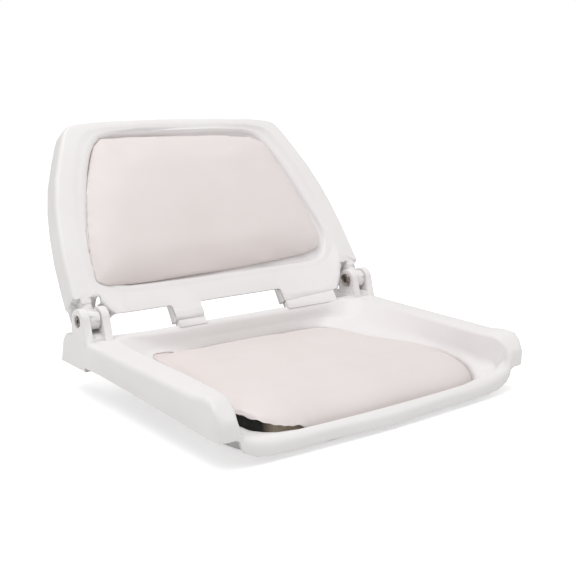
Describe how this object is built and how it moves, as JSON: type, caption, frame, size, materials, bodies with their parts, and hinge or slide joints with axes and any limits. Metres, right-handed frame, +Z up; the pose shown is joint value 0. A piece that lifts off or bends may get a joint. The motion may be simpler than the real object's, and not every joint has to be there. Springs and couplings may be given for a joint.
{
  "type": "folding boat seat",
  "caption": "Low folding boat seat: moulded off-white seat and backrest shells on two bolted side hinges, with padded vinyl cushions; the backrest folds forward.",
  "frame": {"origin": "centre of the flat mounting floor's underside", "axes": "+Z up, the sitter faces -Y, +X to the right as seen from the front"},
  "size_m": [0.5, 0.5041, 0.3438],
  "materials": {
    "shell_plastic": "satin",
    "cushion_vinyl": "satin",
    "cushion_foam": "matte",
    "cushion_plywood": "matte",
    "stainless_steel": "brushed",
    "black_screw": "satin",
    "nylon_washer": "satin"
  },
  "bodies": {
    "seat": {"front_left_mount_nut": "stainless_steel", "front_right_mount_nut": "stainless_steel", "left_hinge_barrel": "stainless_steel", "left_hinge_screw": "black_screw", "left_inner_washer": "nylon_washer", "left_outer_washer": "nylon_washer", "rear_left_mount_nut": "stainless_steel", "rear_right_mount_nut": "stainless_steel", "right_hinge_barrel": "stainless_steel", "right_hinge_screw": "black_screw", "right_inner_washer": "nylon_washer", "right_outer_washer": "nylon_washer", "seat_cushion_board": "cushion_plywood", "seat_cushion_cover": "cushion_vinyl", "seat_cushion_foam": "cushion_foam", "seat_cushion_screw_1": "black_screw", "seat_cushion_screw_2": "black_screw", "seat_cushion_screw_3": "black_screw", "seat_cushion_screw_4": "black_screw", "seat_shell": "shell_plastic"},
    "backrest": {"back_cushion_board": "cushion_plywood", "back_cushion_cover": "cushion_vinyl", "back_cushion_foam": "cushion_foam", "back_cushion_screw_1": "black_screw", "back_cushion_screw_2": "black_screw", "back_cushion_screw_3": "black_screw", "back_cushion_screw_4": "black_screw", "backrest_shell": "shell_plastic"}
  },
  "joints": [
    {"name": "backrest_fold", "type": "hinge", "parent": "seat", "child": "backrest", "pos_m": [0, 0.168, 0.101], "axis": [1, 0, 0], "range_deg": [0, 128]}
  ]
}
